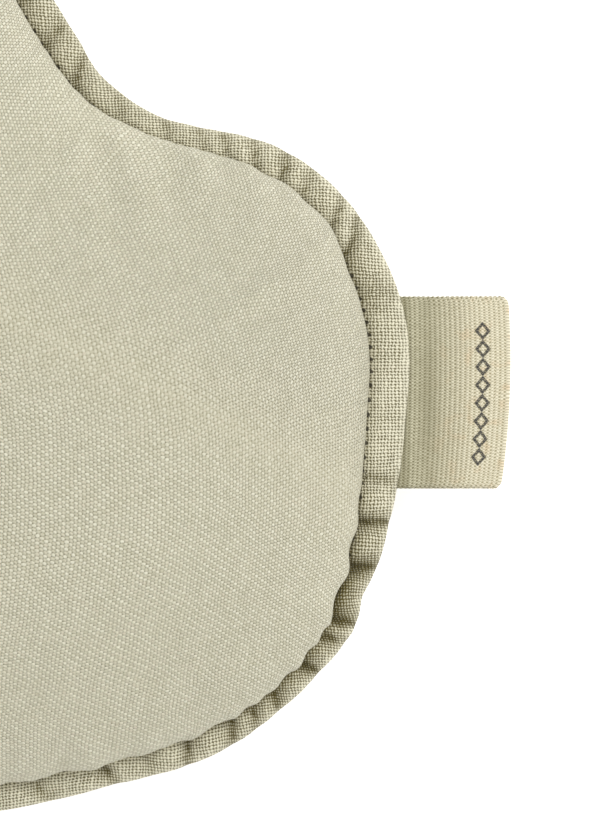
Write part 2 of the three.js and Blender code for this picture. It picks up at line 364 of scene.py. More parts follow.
FAN_X, FAN_Y = 57.7, 50.2    # where the shallow folds at the two upper bends meet
FAN_HEIGHT = 0.5
FANS = 24                    # as many folds as this in a full turn


def fanned(verts):
    """The height of the shallow folds that fan out from the two upper bends."""
    x, y = np.abs(verts[:, 0]) - FAN_X, verts[:, 1] - FAN_Y
    away, angle = np.hypot(x, y), np.degrees(np.arctan2(y, x))
    turned = smooth(angle, -80, -68) * (1 - smooth(angle, -42, -30))
    within = smooth(away, 19, 24) * (1 - smooth(away, 30, 42))
    return FAN_HEIGHT * np.cos(np.radians((angle + 62) * FANS)) * (turned * within)


def plump(verts, shape, rise, steep, swell):
    """The blown-up cloth, flattened on top and swelled out over its seam as packed seed swells it."""
    index, away = nearest_edge(verts)
    out = OUT[index]
    spread = swelled(swell[index], away)
    settle = np.exp(-away / 3.0)
    low = np.exp(-away / 5.0) * (1 - np.exp(-away / 1.0))
    result = shape.copy()
    result[:, :2] += out * (spread - RIM_PUSH * (RIM_SCALLOP * WAVE)[index] * low)[:, None]
    result[:, 2] = rise * np.tanh(steep * shape[:, 2] / rise)
    result[:, 2] += SEAM_HALF + SEAM_WAVE * WAVE[index] * settle + fanned(verts)
    result[:, :2] += TANGENT[index] * (SEAM_WAVE * SLIDE[index] * settle)[:, None]
    return result, index, away


# ---- The flange: rows of points out from the topstitch to the folded edge, and back in as the allowance.
def label_gap():
    """1 where the label passes through the seam, and 0 away from it."""
    return 1 - smooth(np.abs(EDGE[:, 1] - LABEL_Y) + 40 * (EDGE[:, 0] < 90), 12.0, 14.5)


# For each row: how far out it lies from the topstitch to the edge, half of the flange's thickness there,
# and how much of the puckers it takes.
FLANGE_ROWS = [
    (0.06, 0.55, 0.5), (0.15, 0.95, 0.85), (0.28, 1.25, 1.0), (0.43, 1.35, 1.0), (0.58, 1.3, 0.88),
    (0.72, 1.16, 0.7), (0.84, 0.98, 0.52), (0.93, 0.74, 0.42), (0.985, 0.46, 0.38), (1.0, 0.24, 0.36),
]
ALLOWANCE_ROWS = [
    (0.975, 0.13, 0.45), (0.86, 0.16, 0.5), (0.66, 0.22, 0.6), (0.42, 0.3, 0.7), (0.2, 0.3, 0.6),
]


def flange_rows(side):
    """The flange's rows of points, and their spots: how much painted shade darkens the cloth there, how
    closed its weave is, and how far out it lies from the topstitch."""
    rows, spots = [], []
    opened = label_gap()
    for k, (part, half, share) in enumerate(FLANGE_ROWS + ALLOWANCE_ROWS):
        wave, slide, dip, deep = pucker_waves(part)
        face = k < len(FLANGE_ROWS)
        inset = STITCH_INSET * (1 - part)
        pulled = (0.2 * dip * deep + DRAWN_IN) * part - 0.35 * share * (1 - part) * deep * (1 - dip)
        point = EDGE - OUT * (inset + pulled)[:, None]
        point = point + TANGENT * (0.45 * share * slide)[:, None]
        middle = SEAM_HALF * share * wave
        puff = half * (1 + share * deep * (0.42 - 1.15 * dip))
        puff = puff + opened * 0.34 * (smooth(part, 0.8, 1.0) if face else 1)
        rows.append(np.column_stack([point, middle + side * np.maximum(puff, 0.14)]))
        # Painted shade: the creases, a band beside the topstitch and the tables above darken the flange's
        # colour, and the allowance turned inside is painted darker all over.
        crease_shade = (0.75 * dip ** 3 + 0.6 * dip ** 1.2) * deep * (1.2 - 0.5 * part)
        shade = crease_shade + 0.12 * np.exp(-part * 7) + PAINTED_FLANGE_SHADE + (PAINTED_EDGE_SHADE - PAINTED_FLANGE_SHADE) * part
        hollow = np.clip(shade, 0, 1) if face else 0 * deep + 0.6
        closed = np.full(COUNT, smooth(part, 0.78, 0.97) * 0.9 if face else 0.0)
        spots.append(np.column_stack([hollow, closed, part * STITCH_INSET]))
    return rows, spots


def ring_faces(first, second, flip):
    faces = []
    for k in range(COUNT):
        m = (k + 1) % COUNT
        face = (first + k, first + m, second + m, second + k)
        faces.append(face if flip else face[::-1])
    return faces


# ---- The grain of the cloth.
def running(table, low, high):
    """A slope given in degrees at some places, summed up from low to high."""
    x = np.linspace(low, high, 600)
    at, degrees = np.array(table, float).T
    slope = np.tan(np.radians(np.interp(x, at, degrees)))
    return x, summed((slope[1:] + slope[:-1]) / 2 * np.diff(x))


WEFT_TILT = running([
    (-110, -6), (-70, -11), (-30, -2), (20, 5), (60, 9), (67, 14), (80, 17), (97, 13),
    (110, 11)], -130, 130)
WARP_TILT = running([
    (-60, 3), (-41, -4), (-23, -6), (-14, 0), (-3.5, 5), (4.5, 10), (12, 14), (20, 15), (35, 10),
    (70, 4)], -80, 90)


def panel_grain(flat):
    """Distances across the warp and across the weft, in yarns."""
    x, y = flat.T
    across_warp = x + np.interp(y, *WARP_TILT)
    across_weft = y - np.interp(x, *WEFT_TILT)
    return np.column_stack([across_warp / WARP_PITCH, across_weft / WEFT_PITCH])


def flange_grain(flat):
    return flat / np.array([WARP_PITCH, WEFT_PITCH]) / FLANGE_PITCH


def make_object(name, points, faces, corners=None, attribute="grain", spots=None):
    """A mesh object from points in millimetres from the seam's plane, with a vector for each face's corner.
    Spots hold a second vector for each point."""
    mesh = bpy.data.meshes.new(name)
    placed = (points + UP * SEAM_Z) * MM
    mesh.from_pydata([tuple(p) for p in placed], [], faces)
    mesh.polygons.foreach_set("use_smooth", [True] * len(mesh.polygons))
    if corners is not None:
        layer = mesh.attributes.new(attribute, "FLOAT_VECTOR", "CORNER")
        layer.data.foreach_set("vector", np.asarray(corners, np.float32).ravel())
    if spots is not None:
        layer = mesh.attributes.new("spots", "FLOAT_VECTOR", "POINT")
        layer.data.foreach_set("vector", np.asarray(spots, np.float32).ravel())
    mesh.update()
    return new_object(name, mesh)


def thicken(ob, thickness):
    solid = ob.modifiers.new("thickness", "SOLIDIFY")
    solid.thickness = thickness * MM
    solid.offset = -1


def finish_cloth(ob, thickness):
    sub = ob.modifiers.new("smooth", "SUBSURF")
    sub.levels = sub.render_levels = 1
    sub.boundary_smooth = "PRESERVE_CORNERS"
    thicken(ob, thickness)


def vertex_normals(points, faces):
    """Outward normals, for triangles that run counterclockwise seen from outside."""
    tri = np.array(faces)
    cross = np.cross(points[tri[:, 1]] - points[tri[:, 0]], points[tri[:, 2]] - points[tri[:, 0]])
    total = np.zeros_like(points)
    for k in range(3):
        np.add.at(total, tri[:, k], cross)
    return total / np.maximum(np.linalg.norm(total, axis=1), 1e-9)[:, None]


def flange_part(first, side, keep=None):
    """The flange's points, faces, grain and spots, to go on a panel that starts with the topstitch's points.
    Keep says which points round the edge it takes in."""
    rows, spots = flange_rows(side)
    starts = [0] + [first + r * COUNT for r in range(len(rows))]
    reach = [0.0] + [part for part, _, _ in FLANGE_ROWS] + [2 - part for part, _, _ in ALLOWANCE_ROWS]
    flats = [flange_grain(EDGE + GATHERED - OUT * (STITCH_INSET * (1 - r))[:, None]) for r in reach]
    stitch = HOLES_START + SIDE / STITCH
    faces, corners = [], []
    for r, start in enumerate(starts[:-1]):
        for face in ring_faces(start, starts[r + 1], side < 0):
            outer = [not start <= v < start + COUNT for v in face]
            columns = [v - starts[r + o] for v, o in zip(face, outer)]
            if keep is None or all(keep[c] for c in columns):
                faces.append(face)
                corners += [(*flats[r + o][c], stitch[c]) for c, o in zip(columns, outer)]
    return np.vstack(rows), faces, corners, np.vstack(spots)


def used_only(points, faces, spots=None):
    """The mesh without the points that no face uses."""
    used = sorted({v for f in faces for v in f})
    place = {v: i for i, v in enumerate(used)}
    faces = [tuple(place[v] for v in f) for f in faces]
    return points[used], faces, None if spots is None else spots[used]


def panel_spots(away):
    """A panel's spots: how much painted shade darkens it beside the seam, and how much its weave closes up
    as it turns down at the rim.
    """
    # Painted shade where the panel turns down into the seam.
    hollow = 0.7 * np.exp(-away / 0.7)
    closed = 0.85 - 0.85 * smooth(away, 1.0, 4.5)
    return np.column_stack([hollow, closed, np.zeros(len(away))])


def cover_panel(name, points, faces, grain, away, side, keep, thickness):
    """A panel with its side of the flange. Grain and away are given for each of its points."""
    corners = [(*grain[v], 0.0) for f in faces for v in f]
    rows, flange, flange_corners, spots = flange_part(len(points), side, keep)
    points, made, spots = used_only(
        np.vstack([points, rows]), faces + flange, np.vstack([panel_spots(away), spots]))
    ob = make_object(name, points, made, corners + flange_corners, "grain", spots)
    finish_cloth(ob, thickness)
    return ob


def cover_front():
    verts, faces, _ = flat_pattern()
    dome, index, away = plump(verts, inflate(verts, faces), FRONT_RISE, FRONT_FULLNESS, SWELL)
    grain = panel_grain(crowded(verts, index, away))
    ob = cover_panel("linen_front_panel", dome, faces, grain, away, 1, None, FRONT_CLOTH)
    return ob, faces, dome


def cover_back():
    """The envelope: the outer panel, the inner panel, and the rows of points their stitching follows."""
    levels = (HEM_Y, HEM_Y + HEM_DEPTH, HEM_Y + OVERLAP - HEM_DEPTH, HEM_Y + OVERLAP)
    verts, faces, chains = flat_pattern(levels)
    bowl, _, away = plump(verts, inflate(verts, faces), BACK_DROP, BACK_FULLNESS, SWELL * BACK_SWELL)
    bowl[:, 2] *= -1
    faces = [f[::-1] for f in faces]
    normals = vertex_normals(bowl, faces)
    grain = panel_grain(verts * np.array([1, -1]))
    middle = np.array([verts[list(f), 1].mean() for f in faces])
    seam_y = verts[:COUNT, 1]
    shrink = np.minimum(1, away / 3)[:, None]
    fold, leaf_gap = 0.28, 0.56

    def doubled(points, hem, band, outward):
        """A panel's edge folded in under itself: the faces of the band between two rows, laid inside it."""
        low, high = sorted((levels[hem], levels[band]))
        lip = {v: len(points) + k for k, v in enumerate(chains[hem])}
        nose = points[chains[hem]] - normals[chains[hem]] * fold * shrink[chains[hem]]
        nose[:, 1] += outward * BACK_CLOTH
        inner_faces = [f for f, m in zip(faces, middle) if low < m < high]
        inner = sorted({v for f in inner_faces for v in f})
        at = {v: len(points) + len(nose) + k for k, v in enumerate(inner)}
        leaf = points[inner] - normals[inner] * leaf_gap * shrink[inner]
        made = [tuple(at[v] for v in f[::-1]) for f in inner_faces]
        for v, w in zip(chains[hem], chains[hem][1:]):
            made += [(v, w, lip[w], lip[v]), (lip[v], lip[w], at[w], at[v])]
        if outward < 0:
            made = made[:len(inner_faces)] + [f[::-1] for f in made[len(inner_faces):]]
        source = [*range(len(verts)), *chains[hem], *inner]
        return np.vstack([points, nose, leaf]), made, source

    points, hem_faces, source = doubled(bowl, 0, 1, -1)
    mine = [f for f, m in zip(faces, middle) if m > HEM_Y] + hem_faces
    outer = cover_panel("linen_back_outer_panel", points, mine, grain[source], away[source], -1,
                        seam_y >= HEM_Y - 1e-6, BACK_CLOTH)

    # The inner panel steps in to pass beneath the outer one.
    step = 1.3 * smooth(verts[:, 1], HEM_Y - 3.2, HEM_Y - 0.6)[:, None] * shrink
    stepped = bowl - normals * step
    points, hem_faces, source = doubled(stepped, 3, 2, 1)
    mine = [f for f, m in zip(faces, middle) if m < HEM_Y + OVERLAP] + hem_faces
    other_yarns = grain[source] + np.array([9.0, 0.0])
    inner = cover_panel("linen_back_inner_panel", points, mine, other_yarns, away[source], -1,
                        seam_y <= HEM_Y + 1e-6, BACK_CLOTH)
    lines = [(cloth[row] + normals[row] * 0.1, normals[row])
             for cloth, row in ((bowl, chains[1]), (stepped, chains[2]))]
    return outer, inner, faces, bowl, normals, lines


front, front_faces, front_dome = cover_front()
back_outer, back_inner, back_faces, back_bowl, back_normals, hem_lines = cover_back()


# ---- Stitching.
def stitches(name, path, normals, length, radius, closed, lift=0.1, skip=None):
    """A row of separate stitches along a path. Each comes up out of the cloth, runs on and goes down."""
    if closed:
        path, normals = closed_up(path), closed_up(normals)
    along = summed(np.linalg.norm(np.diff(path, axis=0), axis=1))
    count = max(1, int(round(along[-1] / length)))
    length = along[-1] / count
    profile = [
        (0.03, -0.42), (0.1, -0.05), (0.24, 0.85), (0.5, 1.0), (0.76, 0.85), (0.9, -0.05), (0.97, -0.42),
    ]
    sides = 6
    points, faces, corners = [], [], []

    for i in range(count):
        start = i * length
        if skip is not None and skip(sampled(start + length / 2, along, path)):
            continue
        spine = []
        for part, height in profile:
            s = start + part * length
            place, up = sampled(s, along, path), sampled(s, along, normals)
            spine.append((place + up * lift * height, up))
        first, last = len(points), len(spine) - 1
        for k, (place, up) in enumerate(spine):
            ahead = spine[min(k + 1, last)][0] - spine[max(k - 1, 0)][0]
            across = np.cross(ahead, up)
            across /= np.linalg.norm(across)
            rise = np.cross(across, ahead)
            rise /= np.linalg.norm(rise)
            wide = radius * (0.75 if k in (0, last) else 1.0)
            for m in range(sides):
                angle = math.tau * m / sides
                points.append(place + (across * math.cos(angle) + rise * math.sin(angle)) * wide)
        for k in range(last):
            for m in range(sides):
                a, b = first + k * sides + m, first + k * sides + (m + 1) % sides
                faces.append((a, b, b + sides, a + sides))
                turn = [(k, m), (k, m + 1), (k + 1, m + 1), (k + 1, m)]
                corners += [(t[0] / last * length, t[1] / sides, i) for t in turn]
        for k, flip in ((0, True), (last, False)):
            ring = [first + k * sides + m for m in range(sides)]
            faces.append(tuple(ring[::-1] if flip else ring))
            corners += [(k / last * length, 0.0, i)] * sides
    return make_object(name, np.array(points), faces, corners, "thread")


def topstitch(name, side):
    """The topstitch's thread on one side of the cover, just outside the cloth's surface."""
    path = EDGE - OUT * (STITCH_INSET - 0.1)[:, None] + TANGENT * (0.2 * SLIDE)[:, None]
    height = side * (SEAM_HALF + 0.04 + SEAM_WAVE * WAVE)
    return stitches(name, np.column_stack([path, height]), side * TOP, STITCH, THREAD, True)


def at_label(place):
    """Where the seam's thread stops for the label."""
    return place[0] > 0 and abs(place[1] - LABEL_Y) < 14.2


TOP = np.tile(UP, (COUNT, 1))
needle = topstitch("needle_stitches", 1)
bobbin = topstitch("bobbin_stitches", -1)
seam_line = np.column_stack([EDGE - OUT * 0.75, 0.27 * WAVE])
seam_thread = stitches("seam_stitches", seam_line, TOP, 2.4, 0.1, True, 0.02, at_label)
outer_hem = stitches("outer_hem_stitches", *hem_lines[0], STITCH, THREAD, False)
inner_hem = stitches("inner_hem_stitches", *hem_lines[1], STITCH, THREAD, False)


# ---- The label: one ribbon from between the flange's layers, out, over a fold and back in.
def ribbon_label():
    gap, radius = 0.33, 0.36
    length = LABEL_FOLD_X - radius - LABEL_END_X
    y = np.linspace(-LABEL_WIDTH / 2, LABEL_WIDTH / 2, 41) + LABEL_Y
    # The fold bows a little, and its corners are rounded.
    fold_x = LABEL_FOLD_X - 0.0044 * (y - 4.5) ** 2
    fold_x -= 0.6 * np.maximum(0, (np.abs(y - LABEL_Y) - 11.9) / 0.9) ** 2
    straight = int(round(length / (RIB_PITCH / 6)))
    bend = 12
    points, faces, corners = [], [], []
    count = 2 * straight + bend + 1
    for k in range(count):
        if k <= straight:
            t, layer, turn = k / straight, 1, 0.0
        elif k < straight + bend:
            t, layer, turn = 1.0, 0, math.pi * (k - straight) / bend
        else:
            t, layer, turn = 1 - (k - straight - bend) / straight, -1, math.pi
        x = LABEL_END_X + (fold_x - radius - LABEL_END_X) * t
        distance = (1 - t) * length
        half = gap + (radius - gap) * smooth(t, 0.8, 1.0)
        half += 0.22 * math.sin(math.pi * smooth(t, 0.32, 1.0)) ** 2
        x = x + radius * math.sin(turn)
        offset = half * math.cos(turn)
        ridge = 0.05 * math.cos(math.tau * distance / RIB_PITCH)
        x = x + ridge * math.sin(turn)
        offset += ridge * math.cos(turn)
        out = smooth(x, 110.5, 113.2)
        bow = -0.75 * out * (1 - smooth(x, 113.5, 118.5))
        bow = bow + 0.5 * smooth(x, 114.5, 120) - 0.55 * smooth(x, 120, 124)
        bow = bow + 0.035 * (y / 5) ** 2 * out + 0.16 * out * np.sin(y / 5.1 + 0.7)
        edge = 1 + 0.0022 * np.sign(y) * np.sin(math.tau * distance / RIB_PITCH) * (np.abs(y) > 12)
        points.append(np.column_stack([x, y * edge, bow + offset]))
        corners += [(distance, across, layer) for across in y]
    width = len(y)
    for a in range((count - 1) * width):
        if a % width < width - 1:
            faces.append((a, a + width, a + width + 1, a + 1))
    values = [corners[v] for f in faces for v in f]
    points = np.vstack(points)
    x, y, _ = points.T
    # Painted shade: darker in the label's valley beside the seam, and fully dark where it lies inside the
    # seam.
    hollow = np.exp(-((x - 112.7) / 1.5) ** 2) * (0.55 + 0.45 * np.exp(-((y + 1) / 8) ** 2))
    hollow = np.maximum(hollow, 1 - smooth(x, 109.6, 110.6))
    spots = np.column_stack([hollow, np.zeros((len(points), 2))])
    ob = make_object("ribbon_label", points, faces, values, "ribbon", spots)
    thicken(ob, RIBBON)
    return ob


label = ribbon_label()


# ---- The inner bag and the seed: each lies just inside the layer before it.
SEED_SPACING = 1.9           # size of the cells that neighbours are looked for in
SEED_APART = 3.4             # the least distance between two seeds, squared
SEED_LONG, SEED_WIDE = 2.3, 1.25


def shrunk(points, normals, depth, side):
    """A dome moved in by a depth, kept on its own side of the seam's plane."""
    moved = points - normals * depth
    moved[:, 2] = side * np.maximum(side * moved[:, 2], 0.6)
    return moved


def bag_half(name, dome, faces, normals, side, depth):
    """A panel of the bag: the dome, its side wall down to the seam, and the seam allowance turned in."""
    moved = shrunk(dome, normals, depth, side)
    core = [f for f in faces if min(f) >= COUNT]
    rim = moved[COUNT:2 * COUNT]
    rows = []
    for pull, height in ((0.1, 1.4), (0.35, 0.75), (0.75, 0.3), (1.6, 0.34), (3.4, 0.36)):
        row = rim.copy()
        row[:, :2] -= OUT * (pull + 0.08 * np.sin(ALONG * 1.9))[:, None]
        row[:, 2] = side * height
        rows.append(row)
    starts = [COUNT] + [len(moved) + r * COUNT for r in range(len(rows))]
    made = list(core)
    for r in range(len(rows)):
        made += ring_faces(starts[r], starts[r + 1], side < 0)
    points = np.vstack([moved, *rows])
    corners = [(*points[v, :2] / BAG_PITCH, 0.0) for f in made for v in f]
    points, made, _ = used_only(points, made)
    ob = make_object(name, points, made, corners)
    finish_cloth(ob, BAG_CLOTH)
    return ob, rim


front_normals = vertex_normals(front_dome, front_faces)
bag_front, bag_rim = bag_half("cotton_bag_front", front_dome, front_faces, front_normals, 1, BAG_DEPTHS[0])
bag_back, _ = bag_half("cotton_bag_back", back_bowl, back_faces, back_normals, -1, BAG_DEPTHS[1])
bag_path = bag_rim.copy()
bag_path[:, :2] -= OUT * 0.5
bag_path[:, 2] = 0
bag_out = np.column_stack([OUT, np.zeros(COUNT)])
bag_thread = stitches("bag_stitches", bag_path, bag_out, 2.6, 0.11, True, 0.06)


def seed_fill():
    """The seed as one closed body, raised into separate seeds all over."""
    top = shrunk(front_dome, front_normals, SEED_DEPTHS[0], 1)
    bottom = shrunk(back_bowl, back_normals, SEED_DEPTHS[1], -1)
    top[COUNT:2 * COUNT, :2] -= OUT * 1.2
    bottom[COUNT:2 * COUNT, :2] = top[COUNT:2 * COUNT, :2]
    top[COUNT:2 * COUNT, 2], bottom[COUNT:2 * COUNT, 2] = 0.7, -0.7
    points = np.vstack([top, bottom])
    faces = [f for f in front_faces if min(f) >= COUNT]
    faces += [tuple(v + len(top) for v in f) for f in back_faces if min(f) >= COUNT]
    faces += ring_faces(COUNT, len(top) + COUNT, False)
    points, faces, _ = used_only(points, faces)
    rough = make_object("seed_form", points, faces)
    sub = rough.modifiers.new("finer", "SUBSURF")
    sub.levels = sub.render_levels = 1
    fine = bpy.data.meshes.new_from_object(rough.evaluated_get(bpy.context.evaluated_depsgraph_get()))
    bpy.data.objects.remove(rough)
    count = len(fine.vertices)
    place, normal = np.empty(count * 3), np.empty(count * 3)
    fine.vertices.foreach_get("co", place)
    fine.vertices.foreach_get("normal", normal)
    place, normal = place.reshape(-1, 3) / MM, normal.reshape(-1, 3)
    rng = np.random.default_rng(5)
    order = rng.permutation(count)[:26000]
    kept, cells = [], {}
    for v in order:
        key = tuple((place[v] // SEED_SPACING).astype(int))
        near = [q for dx in (-1, 0, 1) for dy in (-1, 0, 1) for dz in (-1, 0, 1)
                for q in cells.get((key[0] + dx, key[1] + dy, key[2] + dz), ())]
        if all(np.sum((place[v] - place[q]) ** 2) > SEED_APART for q in near):
            cells.setdefault(key, []).append(v)
            kept.append(v)
    tree = KDTree(len(kept))
    for i, v in enumerate(kept):
        tree.insert(place[v], i)
    tree.balance()
    turn = rng.normal(size=(len(kept), 3))
    found = [tree.find_n(p, 4) for p in place]
    index = np.array([[f[1] for f in row] for row in found])
    centre = place[np.array(kept)[index]]
    axis = np.cross(turn[index], normal[np.array(kept)[index]])
    axis /= np.linalg.norm(axis, axis=2)[:, :, None]
    offset = place[:, None, :] - centre
    long_way = np.einsum("ijk,ijk->ij", offset, axis)
    cross_way = np.sqrt(np.maximum(np.einsum("ijk,ijk->ij", offset, offset) - long_way ** 2, 0))
    dome = np.sqrt(np.maximum(1 - (long_way / SEED_LONG) ** 2 - (cross_way / SEED_WIDE) ** 2, 0))
    height = dome.max(1)
    owner = index[np.arange(count), dome.argmax(1)]
    place += normal * (height * 0.75 - 0.55)[:, None]
    fine.vertices.foreach_set("co", (place * MM).ravel())
    shade = fine.attributes.new("seed", "FLOAT_VECTOR", "POINT")
    values = np.column_stack([rng.random(len(kept))[owner], height, rng.random(len(kept))[owner]])
    shade.data.foreach_set("vector", values.astype(np.float32).ravel())
    fine.update()
    return new_object("flax_seeds", fine)


seeds = seed_fill()


# ---- Materials.
class Output:
    """A node's output. Arithmetic on it makes the nodes for that."""

    def __init__(self, nodes, socket):
        self.nodes, self.socket = nodes, socket

    def __add__(self, other):
        return self.nodes.math("ADD", self, other)

    def __sub__(self, other):
        return self.nodes.math("SUBTRACT", self, other)

    def __rsub__(self, other):
        return self.nodes.math("SUBTRACT", other, self)

    def __mul__(self, other):
        return self.nodes.math("MULTIPLY", self, other)

    def __truediv__(self, other):
        return self.nodes.math("DIVIDE", self, other)


class Nodes:
    """Short names for making a material's nodes. Each value is an output, or is the same all over."""

    def __init__(self, name):
        self.material = bpy.data.materials.new(name)
        self.material.use_nodes = True
        self.tree = self.material.node_tree
        self.shader = self.tree.nodes["Principled BSDF"]

    def add(self, kind, **values):
        node = self.tree.nodes.new(kind)
        for key, value in values.items():
            setattr(node, key, value)
        return node

    def link(self, value, socket):
        if isinstance(value, Output):
            self.tree.links.new(value.socket, socket)
        else:
            socket.default_value = value

    def fed(self, node, values, inputs=None, output=0):
        """The node's output, with values on its inputs: the first ones, unless others are given."""
        for value, place in zip(values, inputs or range(len(values))):
            self.link(value, node.inputs[place])
        return Output(self, node.outputs[output])

    def math(self, operation, a, b=0.0, c=0.0, clamp=False):
        return self.fed(self.add("ShaderNodeMath", operation=operation, use_clamp=clamp), (a, b, c))

    def mix(self, factor, a, b):
        return self.fed(self.add("ShaderNodeMix", data_type="RGBA"), (factor, a, b), (0, 6, 7), 2)

    def blend(self, factor, a, b):
        return self.fed(self.add("ShaderNodeMix", data_type="FLOAT"), (factor, a, b), (0, 2, 3))

    def ramp(self, value, low, high, to_low=0.0, to_high=1.0):
        node = self.add("ShaderNodeMapRange", interpolation_type="SMOOTHSTEP")
        return self.fed(node, (value, low, high, to_low, to_high))

    def vector(self, x, y, z=0.0):
        return self.fed(self.add("ShaderNodeCombineXYZ"), (x, y, z))

    def split(self, value):
        node = self.add("ShaderNodeSeparateXYZ")
        self.link(value, node.inputs[0])
        return [Output(self, part) for part in node.outputs]

    def noise(self, vector, scale, detail=2.0):
        node = self.add("ShaderNodeTexNoise")
        return self.fed(node, (vector, scale, detail), ("Vector", "Scale", "Detail"))

    def attribute(self, name):
        return Output(self, self.add("ShaderNodeAttribute", attribute_name=name).outputs["Vector"])

    def place(self):
        return Output(self, self.add("ShaderNodeTexCoord").outputs["Object"])

    def bump(self, height, distance):
        """Sends a height, and the depth of a whole unit of it in metres, to the shader."""
        node = self.add("ShaderNodeBump")
        node.inputs["Strength"].default_value = 1.0
        bumped = self.fed(node, (height, distance), ("Height", "Distance"), 0)
        self.link(bumped, self.shader.inputs["Normal"])

    def finish(self, color, roughness, sheen=0.0, specular=0.3):
        values = {"Base Color": color, "Roughness": roughness, "Specular IOR Level": specular,
                  "Sheen Weight": sheen, "Sheen Roughness": 0.5}
        for name, value in values.items():
            self.link(value, self.shader.inputs[name])
        return self.material


def srgb(r, g, b):
    """A display colour, 0 to 255, as the renderer's linear colour."""
    return (*[((v / 255 + 0.055) / 1.055) ** 2.4 if v > 10 else v / 255 / 12.92 for v in (r, g, b)], 1.0)


MOST_LEAN = 0.6              # of a crossing of two yarns
HOLE_LONG, HOLE_WIDE = 0.36, 0.44    # of a needle's hole, from its middle
HOLE_OUT = 0.5               # from the topstitch to a hole's middle


def linen(name, light, dark, gap, open_weave):
    """Plain-weave linen. The grain attribute counts yarns both ways, and its third part counts stitches on
    the flange and is 0 elsewhere. The spots are how much painted shade darkens the cloth and how closed it
    is, and how far out it lies from the topstitch."""
    n = Nodes(name)
    warp, weft, stitch = n.split(n.attribute("grain"))
    hollow, closed, from_seam = n.split(n.attribute("spots"))
    flange = n.math("GREATER_THAN", stitch, HOLES_START / 2)
    place = n.place()
    wander = n.noise(place, 170.0, 3.0)
    warp = warp + (wander - 0.5) * n.blend(flange, 1.3, 1.0)
    warp = warp + (n.noise(place, 800.0, 1.0) - 0.5) * n.blend(flange, 0.5, 0.9)
    wander = n.noise(n.vector(weft, warp), 0.06, 3.0)
    weft = weft + (wander - 0.5) * n.blend(flange, 1.6, 1.0)

    def yarn(across, along):
        """Which yarn, how far from its middle, its thickness there, and its own shade."""
        number = n.math("FLOOR", across)
        off = across - number - 0.5
        slub = n.noise(n.vector(number * 7.31, along * 0.12), 1.0)
        shade = n.noise(n.vector(number * 3.17, along * 0.15, 4.0), 1.0)
        return number, off, slub, shade

    i, off_i, slub_i, shade_i = yarn(warp, weft)
    j, off_j, slub_j, shade_j = yarn(weft, warp)
    # The crossings lean one way in the upper part and the other way below.
    x, y, _ = n.split(place)
    above = y + (n.math("ABSOLUTE", x) - 0.068) * 0.5
    lean = n.blend(flange, n.ramp(above, -0.008, 0.018, -MOST_LEAN, MOST_LEAN), 0.15)
    upright = 1.0 - lean * lean * (1 / MOST_LEAN ** 2)
    off_i = off_i - (n.math("FRACT", weft) - 0.5) * lean
    off_j = off_j - (n.math("FRACT", warp) - 0.5) * lean
    fluff = n.noise(place, 3800.0) - 0.5

    def height(off, slub, number, other, width):
        """A round yarn that goes over and under."""
        panel_width = n.ramp(slub, 0.2, 0.8, width - 0.05, width + 0.06)
        width = n.blend(flange, panel_width, n.ramp(slub, 0.25, 0.75, 0.28, 0.5))
        across = off / width
        round_top = 1.0 - across * across
        over = n.math("SINE", (other + number) * math.pi)
        return round_top, round_top + over * 0.5

    round_i, high_i = height(off_i, slub_i, i, weft, 0.56)
    round_j, high_j = height(off_j, slub_j, j + 1.0, warp, 0.56)
    high_i = high_i + n.blend(flange, 0.07, 0.0)
    top = n.math("SMOOTH_MAX", high_i, high_j, 0.15) + fluff * n.blend(flange, 1.3, 1.0)
    which = n.ramp(high_i - high_j, -0.15, 0.15)
    body = n.math("MAXIMUM", round_i, round_j)
    tone = n.ramp(n.blend(which, shade_j, shade_i), 0.3, 0.7)
    color = n.mix(tone, dark, light)
    color = n.mix(flange * 0.8, color, srgb(248, 243, 217))
    # The weft lies a little deeper on the filled panels, so shade is painted onto it there.
    under = (1.0 - which) * n.blend(flange, 0.2, 0.0) * (1.0 - closed * 0.6)
    color = n.mix(under, color, gap)
    color = n.mix(upright * n.blend(flange, 0.11, 0.0), color, gap)
    warm = n.ramp(shade_j, 0.45, 0.7) * (1.0 - which)
    color = n.mix(warm * 0.22, color, srgb(220, 204, 180))
    # Painted shade: the hollow spot darkens the gaps, widens them and darkens the whole colour. The low
    # places between yarns and the open weave's holes take the dark gap colour, partly the cloth's own and
    # partly painted shade.
    gap = n.mix(hollow, gap, srgb(86, 76, 22))
    low = 1.0 - n.ramp(top - hollow * 0.65, 0.35, 1.25)
    share = n.blend(closed, n.blend(flange, 0.5, 0.68), 0.32) + hollow * 0.42
    color = n.mix(n.math("MULTIPLY", low, share, clamp=True), color, gap)
    hole = n.ramp(body, 0.62, 0.1) * n.blend(flange, 0.2, open_weave) * n.blend(closed, 1.0, 0.45)
    color = n.mix(hole, color, n.mix(0.35, gap, srgb(70, 62, 36)))
    color = n.mix(hollow * 0.7, color, n.mix(0.25, gap, color))
    # The needle's holes, beside the seam: dark spots painted for the shade in them.
    along = n.math("FRACT", stitch) - 0.5
    along = (along + from_seam * 0.12) * (STITCH / HOLE_LONG)
    out = (from_seam - HOLE_OUT) / HOLE_WIDE
    spot = along * along + out * out
    needle_hole = n.ramp(spot, 1.2, 0.6) * flange
    color = n.mix(needle_hole * 0.88, color, srgb(54, 48, 30))
    n.bump(n.math("MINIMUM", n.math("MAXIMUM", top, -0.4), 2.0), 0.00012)
    return n.finish(color, 0.92, 0.12, 0.25)


def thread_material(name, light, dark):
    """Two-ply sewing thread."""
    n = Nodes(name)
    along, around, _ = n.split(n.attribute("thread"))
    twist = n.math("SINE", (along * 2.2 + around) * math.tau)
    fuzz = n.noise(n.place(), 3000.0)
    color = n.mix(n.ramp(twist + fuzz, -0.6, 1.6), dark, light)
    n.bump(twist, 0.00004)
    return n.finish(color, 0.7, 0.1)


